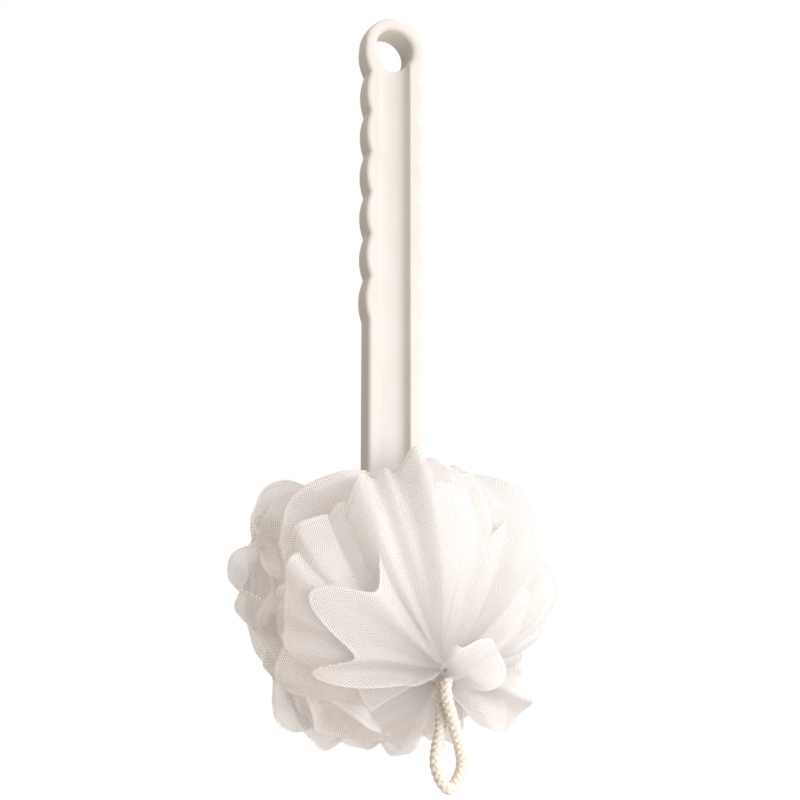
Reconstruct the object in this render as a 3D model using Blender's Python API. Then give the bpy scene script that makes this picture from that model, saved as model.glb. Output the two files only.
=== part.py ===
"""Long-handled back scrubber: a moulded handle, a netting pouf tied to its tongue, a cotton hanging loop.

The frame: +Z up along the handle, the handle's channelled face towards -Y, and the origin on the top of
the hanging hole's wall, where a hook bears. The hanging hole and the tongue's eye both run along Y.
Sizes below are in millimetres, and MM turns them into Blender's metres.
"""

import math

import bmesh
import bpy
from mathutils import Matrix, Vector

MM = 0.001

# Handle: a U-shaped bar with a rounded back, a ring head, finger scallops and a flat tongue.
HANDLE_DEPTH = 17.0
FRONT_Y = -HANDLE_DEPTH / 2
BACK_Y = HANDLE_DEPTH / 2
SHAFT_HALF_WIDTH = 13.9
FRONT_ROUND = 1.6
FRONT_ROUND_STEPS = 3
BACK_ROUND = 9.5
BACK_ROUND_STEPS = 7
HEAD_RADIUS = 16.0
HEAD_SWELL = 1.3
HOLE_RADIUS = 10.0
HOLE_STEPS = 48
HOLE_FLARE = 2.2
HOLE_FLARE_STEPS = 4
# The wall facet at the top of the hole lies in the plane z = 0.
HOLE_Z = -HOLE_RADIUS * math.cos(math.pi / HOLE_STEPS)
NOTCH_HALF_WIDTH = 13.3
GRIP_TOP_Z = -24.5
SCALLOP_PITCH = 21.1
SCALLOP_COUNT = 6
SCALLOP_BULGE = 2.1
CHANNEL_HALF_WIDTH = 7.8
CHANNEL_WALL = 4.0
CHANNEL_DEPTH = 6.2
CHANNEL_FLOOR_STEPS = 8
CHANNEL_END_Z = -228.0

# Tongue: the thin end of the handle, inside the pouf, with an oblong eye for the cords.
EYE_Z = -284.0
EYE_HALF_LENGTH = 8.0
EYE_HALF_HEIGHT = 5.5
TONGUE_RADIUS = 12.0
TONGUE_THICKNESS = 7.0
TONGUE_TAPER_TOP_Z = EYE_Z + 52.0
TONGUE_TAPER_END_Z = EYE_Z + 26.0

# Pouf: four gathered lengths of netting, which together fill an oval ball round the eye.
POUF_HALF_WIDTH = 74.0
POUF_HALF_HEIGHT = 70.0
POUF_HALF_DEPTH = 63.0
POUF_CENTRE_Y = -9.0
FRONT_PARTING_Y = -38.0
FRONT_PARTING_TILT = math.radians(14.0)
REAR_PARTING_Y = 28.0
LAYER_GAP = 1.0
POUF_SEGMENTS = 40
POUF_RINGS = 24
# The pouf rocks this far to each side on the tongue.
ROCK_LIMIT = math.radians(12.0)
TONGUE_CLEARANCE = 0.8
NECK_BORE_RADIUS = 12.0
NECK_BORE_CLEARANCE = 3.0
ROPE_BORE_CLEARANCE = 1.2
RECESS_WIDTH = 60.0
RECESS_DEPTH = 60.0
RECESS_HEIGHT = 120.0
RECESS_CLEARANCE = 2.0
RECESS_LEAN = math.radians(10.0)

# Cords: a thin binding cord, and a cotton rope knotted behind, through the eye, and looped in front.
ROPE_RADIUS = 2.75
STRAND_OFFSET = 2.9
REAR_KNOT = Vector((0.0, 30.0, EYE_Z))
REAR_KNOT_RADII = Vector((7.5, 6.4, 7.5))
FRONT_KNOT = Vector((0.0, -60.0, EYE_Z - 32.0))
FRONT_KNOT_RADIUS = 6.5
KNOT_POCKET = 1.6
KNOT_SEGMENTS = 24
KNOT_RINGS = 14
KNOT_GAP = 0.9
ROPE_BEND_Y = -11.4
LOOP_LENGTH = 53.0
LOOP_HALF_WIDTH = 6.2
LOOP_NECK_HALF_WIDTH = 3.0
BINDING_RADIUS = 1.1
BINDING_COIL_RADIUS = 8.6
BINDING_PITCH = 2.4
BINDING_TURNS = 3
BINDING_COIL_START = 5.4
BINDING_PASS_HEIGHT = 4.1

# Cutters run this far past the surfaces that they cut.
OVERSHOOT = 5.0

IVORY = (0.86, 0.80, 0.71)
WHITE = (0.93, 0.90, 0.89)
COTTON = (0.84, 0.78, 0.69)
NYLON = (0.88, 0.87, 0.84)


# ---------------------------------------------------------------- scene helpers


def clear_scene():
    for obj in list(bpy.data.objects):
        bpy.data.objects.remove(obj)


def new_collection(name):
    collection = bpy.data.collections.new(name)
    bpy.context.scene.collection.children.link(collection)
    return collection


def make_material(name, colour, roughness):
    material = bpy.data.materials.new(name)
    material.use_nodes = True
    shader = material.node_tree.nodes["Principled BSDF"]
    shader.inputs["Base Color"].default_value = (*colour, 1.0)
    shader.inputs["Roughness"].default_value = roughness
    shader.inputs["Metallic"].default_value = 0.0
    return material


def add_part(name, mesh, collection, material, parent=None):
    """A named sub-part, shaded smooth where its faces meet gently."""
    obj = bpy.data.objects.new(name, mesh)
    collection.objects.link(obj)
    mesh.materials.clear()
    mesh.materials.append(material)
    mesh.shade_smooth()
    mesh.set_sharp_from_angle(angle=math.radians(40.0))
    if parent:
        obj.parent = parent
        obj.matrix_parent_inverse = parent.matrix_world.inverted()
    return obj


def add_cutter(name, mesh, collection):
    obj = bpy.data.objects.new(name, mesh)
    collection.objects.link(obj)
    obj.hide_render = True
    obj.display_type = "WIRE"
    return obj


def add_pivot(name, place, collection, parent=None):
    """An empty on a joint's axis, to which the pieces that move on that joint are parented."""
    pivot = bpy.data.objects.new(name, None)
    pivot.location = place * MM
    collection.objects.link(pivot)
    if parent:
        pivot.parent = parent
        pivot.matrix_parent_inverse = parent.matrix_world.inverted()
    bpy.context.view_layer.update()
    return pivot


def boolean(obj, cutter, operation):
    modifier = obj.modifiers.new(f"{operation.lower()} {cutter.name}", "BOOLEAN")
    modifier.operation = operation
    modifier.solver = "EXACT"
    modifier.object = cutter


def mesh_from(name, build):
    """A mesh made by build(bm) in millimetres, then scaled to metres with its faces pointing out."""
    bm = bmesh.new()
    build(bm)
    bmesh.ops.scale(bm, vec=(MM, MM, MM), verts=bm.verts)
    bmesh.ops.recalc_face_normals(bm, faces=bm.faces)
    mesh = bpy.data.meshes.new(name)
    bm.to_mesh(mesh)
    bm.free()
    return mesh


def bridge_rings(bm, rings):
    """Closed rings of equal length joined by quads, with a flat cap on each end."""
    loops = [[bm.verts.new(point) for point in ring] for ring in rings]
    for near, far in zip(loops, loops[1:]):
        for i in range(len(near)):
            j = (i + 1) % len(near)
            bm.faces.new((near[i], near[j], far[j], far[i]))
    bm.faces.new(loops[0])
    bm.faces.new(loops[-1])


def prism(name, outline, low, high, place):
    """A flat outline pushed from low to high; place(a, b, h) puts an outline point at that height."""

    def build(bm):
        bridge_rings(bm, [[place(a, b, h) for a, b in outline] for h in (low, high)])

    return mesh_from(name, build)


def turned_about_y(name, profile, axis_z, steps):
    """A (radius, y) profile turned about the line x = 0, z = axis_z, with a facet square to +Z."""

    def build(bm):
        turns = [2 * math.pi * (i + 0.5) / steps for i in range(steps)]
        rings = []
        for radius, y in profile:
            rings.append([(radius * math.sin(t), y, axis_z + radius * math.cos(t)) for t in turns])
        bridge_rings(bm, rings)

    return mesh_from(name, build)


def ball(name, centre, radii, segments, rings):
    def build(bm):
        bmesh.ops.create_uvsphere(bm, u_segments=segments, v_segments=rings, radius=1.0)
        bmesh.ops.scale(bm, vec=radii, verts=bm.verts)
        bmesh.ops.translate(bm, vec=centre, verts=bm.verts)

    return mesh_from(name, build)


def tube(name, path, radius, collection, ring_points=12):
    """A mesh of a round tube along a list of points, made from a curve with a bevel and filled caps."""
    curve = bpy.data.curves.new(name, "CURVE")
    curve.dimensions = "3D"
    curve.bevel_depth = radius * MM
    curve.bevel_resolution = ring_points // 4 - 1
    curve.use_fill_caps = True
    spline = curve.splines.new("POLY")
    spline.points.add(len(path) - 1)
    for point, place in zip(spline.points, path):
        point.co = (*(place * MM), 1.0)
    obj = bpy.data.objects.new(name, curve)
    collection.objects.link(obj)
    bpy.context.view_layer.update()
    evaluated = obj.evaluated_get(bpy.context.evaluated_depsgraph_get())
    mesh = bpy.data.meshes.new_from_object(evaluated)
    bpy.data.objects.remove(obj)
    bm = bmesh.new()
    bm.from_mesh(mesh)
    bmesh.ops.remove_doubles(bm, verts=bm.verts, dist=1e-6)
    bmesh.ops.recalc_face_normals(bm, faces=bm.faces)
    bm.to_mesh(mesh)
    bm.free()
    return mesh


def smooth_path(points, per_span):
    """Catmull-Rom points through the given ones."""
    ends = [points[0] * 2 - points[1], *points, points[-1] * 2 - points[-2]]
    path = []
    for a, b, c, d in zip(ends, ends[1:], ends[2:], ends[3:]):
        slope = c - a
        bend = a * 2 - b * 5 + c * 4 - d
        twist = b * 3 - a - c * 3 + d
        for i in range(per_span):
            t = i / per_span
            path.append(b + (slope * t + bend * t**2 + twist * t**3) / 2)
    path.append(points[-1])
    return path


# ---------------------------------------------------------------- handle


def arc(centre, radius, start, end, steps):
    """Points on a circle, leaving out the last, with angles in degrees from +X towards +Z."""
    points = []
    for i in range(steps):
        angle = math.radians(start + (end - start) * i / steps)
        points.append((centre[0] + radius * math.cos(angle), centre[1] + radius * math.sin(angle)))
    return points


def bulge(start, end, rise, steps):
    """Points on a shallow arc that swells by rise towards +X between two points, leaving out the last."""
    points = []
    for i in range(steps):
        t = i / steps
        x = start[0] + (end[0] - start[0]) * t + rise * 4 * t * (1 - t)
        points.append((x, start[1] + (end[1] - start[1]) * t))
    return points


def straight(start, end, steps):
    return bulge(start, end, 0.0, steps)


def handle_outline():
    """The handle's outline in (x, z), clockwise from the top of the head."""
    grip_end_z = GRIP_TOP_Z - SCALLOP_PITCH * SCALLOP_COUNT
    notches = [GRIP_TOP_Z - SCALLOP_PITCH * i for i in range(SCALLOP_COUNT + 1)]
    side = arc((0.0, HOLE_Z), HEAD_RADIUS, 90.0, 0.0, 14)
    side += bulge((HEAD_RADIUS, HOLE_Z), (NOTCH_HALF_WIDTH, GRIP_TOP_Z), HEAD_SWELL, 6)
    for top, bottom in zip(notches, notches[1:]):
        foot = SHAFT_HALF_WIDTH if bottom == grip_end_z else NOTCH_HALF_WIDTH
        side += bulge((NOTCH_HALF_WIDTH, top), (foot, bottom), SCALLOP_BULGE, 10)
    side += straight((SHAFT_HALF_WIDTH, grip_end_z), (SHAFT_HALF_WIDTH, TONGUE_TAPER_TOP_Z), 6)
    side += straight((SHAFT_HALF_WIDTH, TONGUE_TAPER_TOP_Z), (TONGUE_RADIUS, EYE_Z), 4)
    side += arc((0.0, EYE_Z), TONGUE_RADIUS, 0.0, -90.0, 8)
    bottom = (0.0, EYE_Z - TONGUE_RADIUS)
    return [*side, bottom, *[(-x, z) for x, z in reversed(side[1:])]]


def inset(outline, distance):
    """The outline moved inwards along each point's own normal."""
    moved = []
    for i, (x, z) in enumerate(outline):
        before, after = outline[i - 1], outline[(i + 1) % len(outline)]
        along = Vector((after[0] - before[0], after[1] - before[1])).normalized()
        moved.append((x + along.y * distance, z - along.x * distance))
    return moved


def handle_blank():
    """The handle before it is cut: its outline with a small round in front and a large one behind."""
    outline = handle_outline()
    profile = []
    for i in range(FRONT_ROUND_STEPS + 1):
        a = math.pi / 2 * i / FRONT_ROUND_STEPS
        profile.append((FRONT_ROUND * (1 - math.sin(a)), FRONT_Y + FRONT_ROUND * (1 - math.cos(a))))
    for i in range(BACK_ROUND_STEPS + 1):
        a = math.pi / 2 * i / BACK_ROUND_STEPS
        profile.append((BACK_ROUND * (1 - math.cos(a)), BACK_Y - BACK_ROUND * (1 - math.sin(a))))

    def build(bm):
        rings = [[(x, y, z) for x, z in inset(outline, depth)] for depth, y in profile]
        bridge_rings(bm, rings)

    return mesh_from("handle", build)


def tongue_envelope():
    """The handle's side view, full depth along the shaft and thinned to the tongue below."""
    half = TONGUE_THICKNESS / 2
    slope = (HANDLE_DEPTH / 2 - half) / (TONGUE_TAPER_TOP_Z - TONGUE_TAPER_END_Z)
    side = [
        (HANDLE_DEPTH / 2 + OVERSHOOT, HOLE_Z + HEAD_RADIUS + OVERSHOOT),
        (HANDLE_DEPTH / 2 + OVERSHOOT, TONGUE_TAPER_TOP_Z + OVERSHOOT / slope),
        (half, TONGUE_TAPER_END_Z),
        (half, EYE_Z - TONGUE_RADIUS - OVERSHOOT),
    ]
    outline = side + [(-y, z) for y, z in reversed(side)]
    reach = HEAD_RADIUS + OVERSHOOT
    return prism("tongue_envelope", outline, -reach, reach, lambda y, z, h: (h, y, z))


def channel_cutter():
    """The trough along the handle's face: upright walls and a dished floor."""
    wall_y = FRONT_Y + CHANNEL_WALL
    dish = CHANNEL_DEPTH - CHANNEL_WALL
    floor = []
    for i in range(CHANNEL_FLOOR_STEPS + 1):
        a = math.pi * i / CHANNEL_FLOOR_STEPS
        floor.append((CHANNEL_HALF_WIDTH * math.cos(a), wall_y + dish * math.sin(a)))
    mouth = [(x, FRONT_Y - OVERSHOOT) for x in (-CHANNEL_HALF_WIDTH, CHANNEL_HALF_WIDTH)]
    outline = [*mouth, *floor]
    return prism("channel_cutter", outline, CHANNEL_END_Z, HOLE_Z, lambda x, y, h: (x, y, h))


def hanging_hole_cutter():
    """The hanging hole, flared where it meets the handle's front and back."""
    profile = []
    for y, side in ((FRONT_Y, 1.0), (BACK_Y, -1.0)):
        edge = [(HOLE_RADIUS + HOLE_FLARE, y - side * OVERSHOOT)]
        for i in range(HOLE_FLARE_STEPS + 1):
            a = math.pi / 2 * i / HOLE_FLARE_STEPS
            radius = HOLE_RADIUS + HOLE_FLARE * (1 - math.sin(a))
            edge.append((radius, y + side * HOLE_FLARE * (1 - math.cos(a))))
        profile += edge if side > 0 else edge[::-1]
    return turned_about_y("hanging_hole_cutter", profile, HOLE_Z, HOLE_STEPS)


def eye_cutter():
    """The oblong eye: two half circles joined by flats, clockwise from the top of the right-hand one."""
    ends = EYE_HALF_LENGTH - EYE_HALF_HEIGHT
    outline = arc((ends, EYE_Z), EYE_HALF_HEIGHT, 90.0, -90.0, 10)
    outline += [(ends, EYE_Z - EYE_HALF_HEIGHT)]
    outline += arc((-ends, EYE_Z), EYE_HALF_HEIGHT, 270.0, 90.0, 10)
    outline += [(-ends, EYE_Z + EYE_HALF_HEIGHT)]
    reach = TONGUE_THICKNESS / 2 + OVERSHOOT
    return prism("eye_cutter", outline, -reach, reach, lambda x, z, h: (x, h, z))


def build_handle(parts, cutters, material):
    handle = add_part("handle", handle_blank(), parts, material)
    boolean(handle, add_cutter("tongue_envelope", tongue_envelope(), cutters), "INTERSECT")
    boolean(handle, add_cutter("channel_cutter", channel_cutter(), cutters), "DIFFERENCE")
    boolean(handle, add_cutter("hanging_hole_cutter", hanging_hole_cutter(), cutters), "DIFFERENCE")
    boolean(handle, add_cutter("eye_cutter", eye_cutter(), cutters), "DIFFERENCE")


# ---------------------------------------------------------------- netting


def pouf_slice(name, planes):
    """The pouf's oval ball between two planes, each given as (point, normal of the side cut away)."""

    def build(bm):
        bmesh.ops.create_uvsphere(bm, u_segments=POUF_SEGMENTS, v_segments=POUF_RINGS, radius=1.0)
        radii = (POUF_HALF_WIDTH, POUF_HALF_DEPTH, POUF_HALF_HEIGHT)
        bmesh.ops.rotate(bm, matrix=Matrix.Rotation(math.pi / 2, 3, "X"), verts=bm.verts)
        bmesh.ops.scale(bm, vec=radii, verts=bm.verts)
        bmesh.ops.translate(bm, vec=(0, POUF_CENTRE_Y, EYE_Z), verts=bm.verts)
        for point, normal in planes:
            everything = [*bm.verts, *bm.edges, *bm.faces]
            cut = bmesh.ops.bisect_plane(
                bm, geom=everything, plane_co=point, plane_no=normal, clear_outer=True
            )
            rim = [e for e in cut["geom_cut"] if isinstance(e, bmesh.types.BMEdge)]
            bmesh.ops.contextual_create(bm, geom=rim)

    return mesh_from(name, build)


def parting_plane(y, tilt, side):
    """A plane across the pouf at y, leaning by tilt, set back half a layer's gap on the kept side."""
    normal = Vector((0.0, math.cos(tilt), -math.sin(tilt))) * side
    return Vector((0.0, y, EYE_Z)) - normal * LAYER_GAP / 2, normal


def tongue_slot_cutter():
    """The slot that holds the tongue and the shaft, wide enough for the pouf to rock on them.

    Seen from the front it is the shaft turned through the whole rock, and seen from the side it is the
    shaft's taper down to the tongue. Each level is a rectangle.
    """
    radius = SHAFT_HALF_WIDTH + TONGUE_CLEARANCE
    drop = SHAFT_HALF_WIDTH * math.sin(ROCK_LIMIT)
    thin_top = (TONGUE_TAPER_END_Z - EYE_Z) * math.cos(ROCK_LIMIT) - drop
    thick_bottom = (TONGUE_TAPER_TOP_Z - EYE_Z) * math.cos(ROCK_LIMIT) - drop
    thin = TONGUE_THICKNESS / 2 + TONGUE_CLEARANCE
    thick = HANDLE_DEPTH / 2 + TONGUE_CLEARANCE

    top = POUF_HALF_HEIGHT + OVERSHOOT
    bottom_angle = math.radians(-75.0)
    round_steps = 8
    sections = []
    for i in range(round_steps + 1):
        a = bottom_angle + (ROCK_LIMIT - bottom_angle) * i / round_steps
        sections.append((radius * math.cos(a), thin, radius * math.sin(a)))
    for height, depth in ((thin_top, thin), (thick_bottom, thick), (top, thick)):
        width = radius / math.cos(ROCK_LIMIT) + height * math.tan(ROCK_LIMIT)
        sections.append((width, depth, height))

    def build(bm):
        corners = ((-1, -1), (1, -1), (1, 1), (-1, 1))
        bridge_rings(bm, [[(i * w, j * d, EYE_Z + h) for i, j in corners] for w, d, h in sections])

    return mesh_from("tongue_slot_cutter", build)


def neck_bore_cutter():
    """The bore round the binding cord, just in front of and behind the tongue."""
    depth = BINDING_COIL_START + BINDING_TURNS * BINDING_PITCH + NECK_BORE_CLEARANCE
    profile = [(NECK_BORE_RADIUS, -depth), (NECK_BORE_RADIUS, depth)]
    return turned_about_y("neck_bore_cutter", profile, EYE_Z, 32)


def rope_bore_cutter(collection):
    """The way through the netting for the doubled rope, from the rear knot to the front knot."""
    radius = STRAND_OFFSET + ROPE_RADIUS + ROPE_BORE_CLEARANCE
    return tube("rope_bore_cutter", [*rope_centre(), FRONT_KNOT], radius, collection, ring_points=24)


def loop_recess_cutter():
    """The hollow in the front of the pouf where the rope loop leaves it, leaning back below the knot."""
    size = Vector((RECESS_WIDTH, RECESS_DEPTH, RECESS_HEIGHT))
    top = FRONT_KNOT_RADIUS + RECESS_CLEARANCE
    floor = Vector((0, FRONT_KNOT.y + ROPE_RADIUS + RECESS_CLEARANCE, FRONT_KNOT.z))

    def build(bm):
        bmesh.ops.create_cube(bm, size=1.0)
        bmesh.ops.scale(bm, vec=size, verts=bm.verts)
        bmesh.ops.translate(bm, vec=(0, -RECESS_DEPTH / 2, top - RECESS_HEIGHT / 2), verts=bm.verts)
        bmesh.ops.rotate(bm, matrix=Matrix.Rotation(RECESS_LEAN, 3, "X"), verts=bm.verts)
        bmesh.ops.translate(bm, vec=floor, verts=bm.verts)

    return mesh_from("loop_recess_cutter", build)


def knot_pocket_cutter(name, centre, radius):
    radii = [radius + KNOT_POCKET] * 3
    return ball(name, centre, radii, KNOT_SEGMENTS, KNOT_RINGS)


def build_netting(parts, cutters, material, pivot):
    slot = add_cutter("tongue_slot_cutter", tongue_slot_cutter(), cutters)
    neck = add_cutter("neck_bore_cutter", neck_bore_cutter(), cutters)
    rope = add_cutter("rope_bore_cutter", rope_bore_cutter(cutters), cutters)
    recess = add_cutter("loop_recess_cutter", loop_recess_cutter(), cutters)
    front_pocket = knot_pocket_cutter("front_knot_pocket", FRONT_KNOT, FRONT_KNOT_RADIUS)
    front_pocket = add_cutter("front_knot_pocket", front_pocket, cutters)
    rear_pocket = knot_pocket_cutter("rear_knot_pocket", REAR_KNOT, max(REAR_KNOT_RADII))
    rear_pocket = add_cutter("rear_knot_pocket", rear_pocket, cutters)
    front = (FRONT_PARTING_Y, FRONT_PARTING_TILT)
    rear = (REAR_PARTING_Y, 0.0)
    middle = (0.0, 0.0)
    layers = {
        "netting_front": ([parting_plane(*front, 1)], [rope, front_pocket, recess]),
        "netting_front_collar": (
            [parting_plane(*front, -1), parting_plane(*middle, 1)],
            [slot, neck, rope, front_pocket, recess],
        ),
        "netting_rear_collar": (
            [parting_plane(*middle, -1), parting_plane(*rear, 1)],
            [slot, neck, rope, rear_pocket],
        ),
        "netting_rear": ([parting_plane(*rear, -1)], [rope, rear_pocket]),
    }
    for name, (planes, hollows) in layers.items():
        layer = add_part(name, pouf_slice(name, planes), parts, material, pivot)
        for hollow in hollows:
            boolean(layer, hollow, "DIFFERENCE")


# ---------------------------------------------------------------- cords


def build_binding_cord(parts, material, pivot):
    """One thin cord: coiled round the necks in front, through the top of the eye, coiled behind."""
    steps = 16

    def coil(side):
        points = []
        for i in range(BINDING_TURNS * steps + 1):
            turn = 2 * math.pi * i / steps
            y = side * (BINDING_COIL_START + BINDING_PITCH * i / steps)
            across = BINDING_COIL_RADIUS * math.sin(turn) * side
            points.append(Vector((across, y, EYE_Z + BINDING_COIL_RADIUS * math.cos(turn))))
        return points

    through = [
        Vector((0, side * BINDING_COIL_START * share, EYE_Z + BINDING_PASS_HEIGHT))
        for side, share in ((-1, 1.0), (-1, 0.5), (1, 0.5), (1, 1.0))
    ]
    path = [*reversed(coil(-1)), *through, *coil(1)]
    mesh = tube("binding_cord", path, BINDING_RADIUS, parts, ring_points=8)
    add_part("binding_cord", mesh, parts, material, pivot)


def rope_centre():
    """The line midway between the rope's two strands, from the rear knot to just short of the front one."""
    bend = Vector((0, ROPE_BEND_Y, EYE_Z))
    to_knot = (FRONT_KNOT - bend).normalized()
    end = FRONT_KNOT - to_knot * (FRONT_KNOT_RADIUS + STRAND_OFFSET / 2)
    return smooth_path([REAR_KNOT, Vector((0, 0, EYE_Z)), bend, end], 5)


def build_rope_stem(parts, cutters, material, pivot):
    """The rope's doubled length through the eye, with the stopper knot behind the pouf."""
    knot = ball("rope_stem", REAR_KNOT, REAR_KNOT_RADII, KNOT_SEGMENTS, KNOT_RINGS)
    stem = add_part("rope_stem", knot, parts, material, pivot)
    for name, side in (("left_strand", -1), ("right_strand", 1)):
        strand = [point + Vector((side * STRAND_OFFSET, 0, 0)) for point in rope_centre()]
        mesh = tube(name, strand, ROPE_RADIUS, cutters)
        boolean(stem, add_cutter(name, mesh, cutters), "UNION")


def build_rope_knot(parts, material, pivot):
    """The knot in the pouf's mouth, from which the loop hangs."""
    mesh = ball("rope_knot", FRONT_KNOT, [FRONT_KNOT_RADIUS] * 3, KNOT_SEGMENTS, KNOT_RINGS)
    add_part("rope_knot", mesh, parts, material, pivot)


def build_rope_loop(parts, material, pivot):
    """The hanging loop: two strands that leave the knot side by side and close in a teardrop."""
    top = -FRONT_KNOT_RADIUS - ROPE_RADIUS / 2 - KNOT_GAP
    bottom = ROPE_RADIUS - LOOP_LENGTH
    wide = bottom + LOOP_HALF_WIDTH
    half = [
        Vector((LOOP_NECK_HALF_WIDTH, 0, top)),
        Vector((LOOP_NECK_HALF_WIDTH, 0, top * 1.6)),
        Vector((LOOP_HALF_WIDTH * 0.8, 0, (top * 1.6 + wide) / 2)),
        Vector((LOOP_HALF_WIDTH, 0, wide)),
        Vector((LOOP_HALF_WIDTH * 0.72, 0, bottom + LOOP_HALF_WIDTH * 0.3)),
    ]
    other = [Vector((-point.x, point.y, point.z)) for point in reversed(half)]
    path = [point + FRONT_KNOT for point in smooth_path([*half, Vector((0, 0, bottom)), *other], 5)]
    add_part("rope_loop", tube("rope_loop", path, ROPE_RADIUS, parts), parts, material, pivot)


# ---------------------------------------------------------------- assembly


def main():
    clear_scene()
    parts = new_collection("back_scrubber")
    cutters = new_collection("back_scrubber_cutters")
    plastic = make_material("ivory_plastic", IVORY, 0.38)
    netting = make_material("white_netting", WHITE, 0.6)
    cotton = make_material("cotton_rope", COTTON, 0.9)
    nylon = make_material("nylon_cord", NYLON, 0.5)

    eye = add_pivot("pouf_pivot", Vector((0, 0, EYE_Z)), parts)
    knot = add_pivot("rope_pivot", FRONT_KNOT, parts, eye)

    build_handle(parts, cutters, plastic)
    build_netting(parts, cutters, netting, eye)
    build_binding_cord(parts, nylon, eye)
    build_rope_stem(parts, cutters, cotton, eye)
    build_rope_knot(parts, cotton, knot)
    build_rope_loop(parts, cotton, knot)


main()
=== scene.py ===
"""Looks of the back scrubber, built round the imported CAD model: ruffled netting by cloth simulation, braided
rope and moulded plastic, in a pale studio. Lengths are in metres; MM turns millimetres into metres."""

import math

import bpy
import numpy as np
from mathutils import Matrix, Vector


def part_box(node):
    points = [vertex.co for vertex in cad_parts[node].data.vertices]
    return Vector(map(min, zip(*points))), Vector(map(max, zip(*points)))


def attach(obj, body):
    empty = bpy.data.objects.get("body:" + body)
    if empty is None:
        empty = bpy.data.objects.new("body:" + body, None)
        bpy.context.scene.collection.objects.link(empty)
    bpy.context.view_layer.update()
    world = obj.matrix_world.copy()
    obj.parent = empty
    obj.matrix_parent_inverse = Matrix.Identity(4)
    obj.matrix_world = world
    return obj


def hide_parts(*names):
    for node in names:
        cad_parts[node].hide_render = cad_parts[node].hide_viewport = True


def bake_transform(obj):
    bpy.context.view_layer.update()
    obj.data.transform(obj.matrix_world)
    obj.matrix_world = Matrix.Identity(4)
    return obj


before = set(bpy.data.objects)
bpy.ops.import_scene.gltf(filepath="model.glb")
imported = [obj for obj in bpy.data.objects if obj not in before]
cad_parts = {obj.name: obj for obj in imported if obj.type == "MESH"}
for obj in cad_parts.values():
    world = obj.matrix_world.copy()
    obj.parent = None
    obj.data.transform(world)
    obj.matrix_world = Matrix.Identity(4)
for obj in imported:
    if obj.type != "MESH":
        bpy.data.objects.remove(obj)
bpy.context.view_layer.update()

MM = 0.001
SCENE = bpy.context.scene

# The camera looks slightly up at the scrubber from its left.
VIEW_AZIMUTH = math.radians(-25.0)
VIEW_ELEVATION = math.radians(-12.0)
VIEW_DISTANCE = 0.70
VIEW_LENS = 65.6
VIEW_TARGET = Vector((0.0051, -0.0024, -0.1884))

# The pouf: room for the folds outside the sheets as they start, the step from a sheet to the next one below,
# how far down the gathered core lies, and the shaft with the gap that the sheets keep round the handle.
FOLD_ROOM = 4.0 * MM
LAYER_STEP = 3.5 * MM
CORE_DEPTH = 14.0 * MM
SHAFT_HALF_WIDTH = 13.9 * MM
HANDLE_GAP = 1.2 * MM

# A sheet of netting: its grid, the radius of its gathered neck, the height of its starting waves, and how far
# aside the folds are turned at the rim, in radians.
RINGS = 32
COLUMNS = 196
PINNED_RINGS = 2
NECK_RADIUS = 8.0 * MM
FOLD_HEIGHT = 4.0 * MM
SWIRL = 0.14

# Round a sheet: its rim's lobes as (count, share of the radius), its starting waves and finer wrinkles as
# differences from its number of folds and from three times that number, and the wrinkles' relative height.
RIM_LOBES = [(3, 0.03), (5, 0.02), (9, 0.015)]
WAVE_SPREADS = (-5, -3, -2, 0, 1, 4)
WRINKLE_SPREADS = (-3, 0, 4)
WRINKLE_HEIGHT = 0.25

# The mouth, beside the rope's knot: the neck of the sheets gathered there, and how far their folds stand out,
# as a share of the pouf's radius, within this angle of it.
MOUTH_OFFSET = np.array([-4.0, -6.0, 3.0]) * MM
MOUTH_NECK = 0.9 * MM
MOUTH_RISE = 0.10
MOUTH_ANGLE = math.radians(15.0)

# How far the frills round the handle reach, by angle from the top, as shares of each frill's radius.
FRILL_OUTLINE = [
    (0, 1.0), (50, 0.97), (74, 1.10), (98, 0.84), (128, 1.0), (140, 0.92),
    (217, 1.04), (236, 0.95), (268, 0.95), (308, 1.14), (334, 1.0),
]

# The simulation's length and the sheets' distance from what they rest on. Afterwards corners are left alone
# up to this share of the pouf's size, and drawn in softly beyond it.
CLOTH_FRAMES = 24
CLOTH_GAP = 1.0 * MM
CORNER_FREE = 0.95
CORNER_SOFT = 0.18

# The space for the loop below the knot: degrees to either side, and distances from the knot near the rope's
# root and past the loop, each as the two values between which it fades. It is several rope radii deep, and
# deepens downwards as the loop leans back.
ROOM_SIDES = (48.0, 64.0)
ROOM_ROOT = (6.0 * MM, 11.0 * MM)
ROOM_FAR = (62.0 * MM, 76.0 * MM)
ROOM_DEPTH = 2.5
LOOP_LEAN = math.tan(math.radians(9.0))

# Distances beyond the knot between which netting would pass from the pouf to the knot; nothing moves it
# across.
MOUTH_BLEND = (1.0 * MM, 7.0 * MM)

# The net: its mesh, its doubled thickness, its rim's width, how much a gap, a gap at the rim and a thread
# cover, the share of light that goes through a thread, and the strength of its painted glow.
CELL = 1.4 * MM
NET_THICKNESS = 0.7 * MM
RIM_WIDTH = 3.0 * MM
GAP_COVER = 0.20
RIM_COVER = 0.45
THREAD_COVER = 0.95
THROUGH_SHARE = 0.3
NET_PAINTED_GLOW = 0.10

# Rope: a tubular braid of this many flat strands each way round, over a core.
ROPE_RADIUS = 2.75 * MM
STRANDS_EACH_WAY = 4
STRAND_SIDES = 8
STRAND_THICK = 0.27 * ROPE_RADIUS
STRAND_WIDE = 0.40 * ROPE_RADIUS
STRAND_SWING = 0.13 * ROPE_RADIUS
CORE_FILL = 0.9
BRAID_PITCH = 11.0 * MM
BRAID_STEP = 0.45 * MM
SPLINE_STEPS = 24

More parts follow.
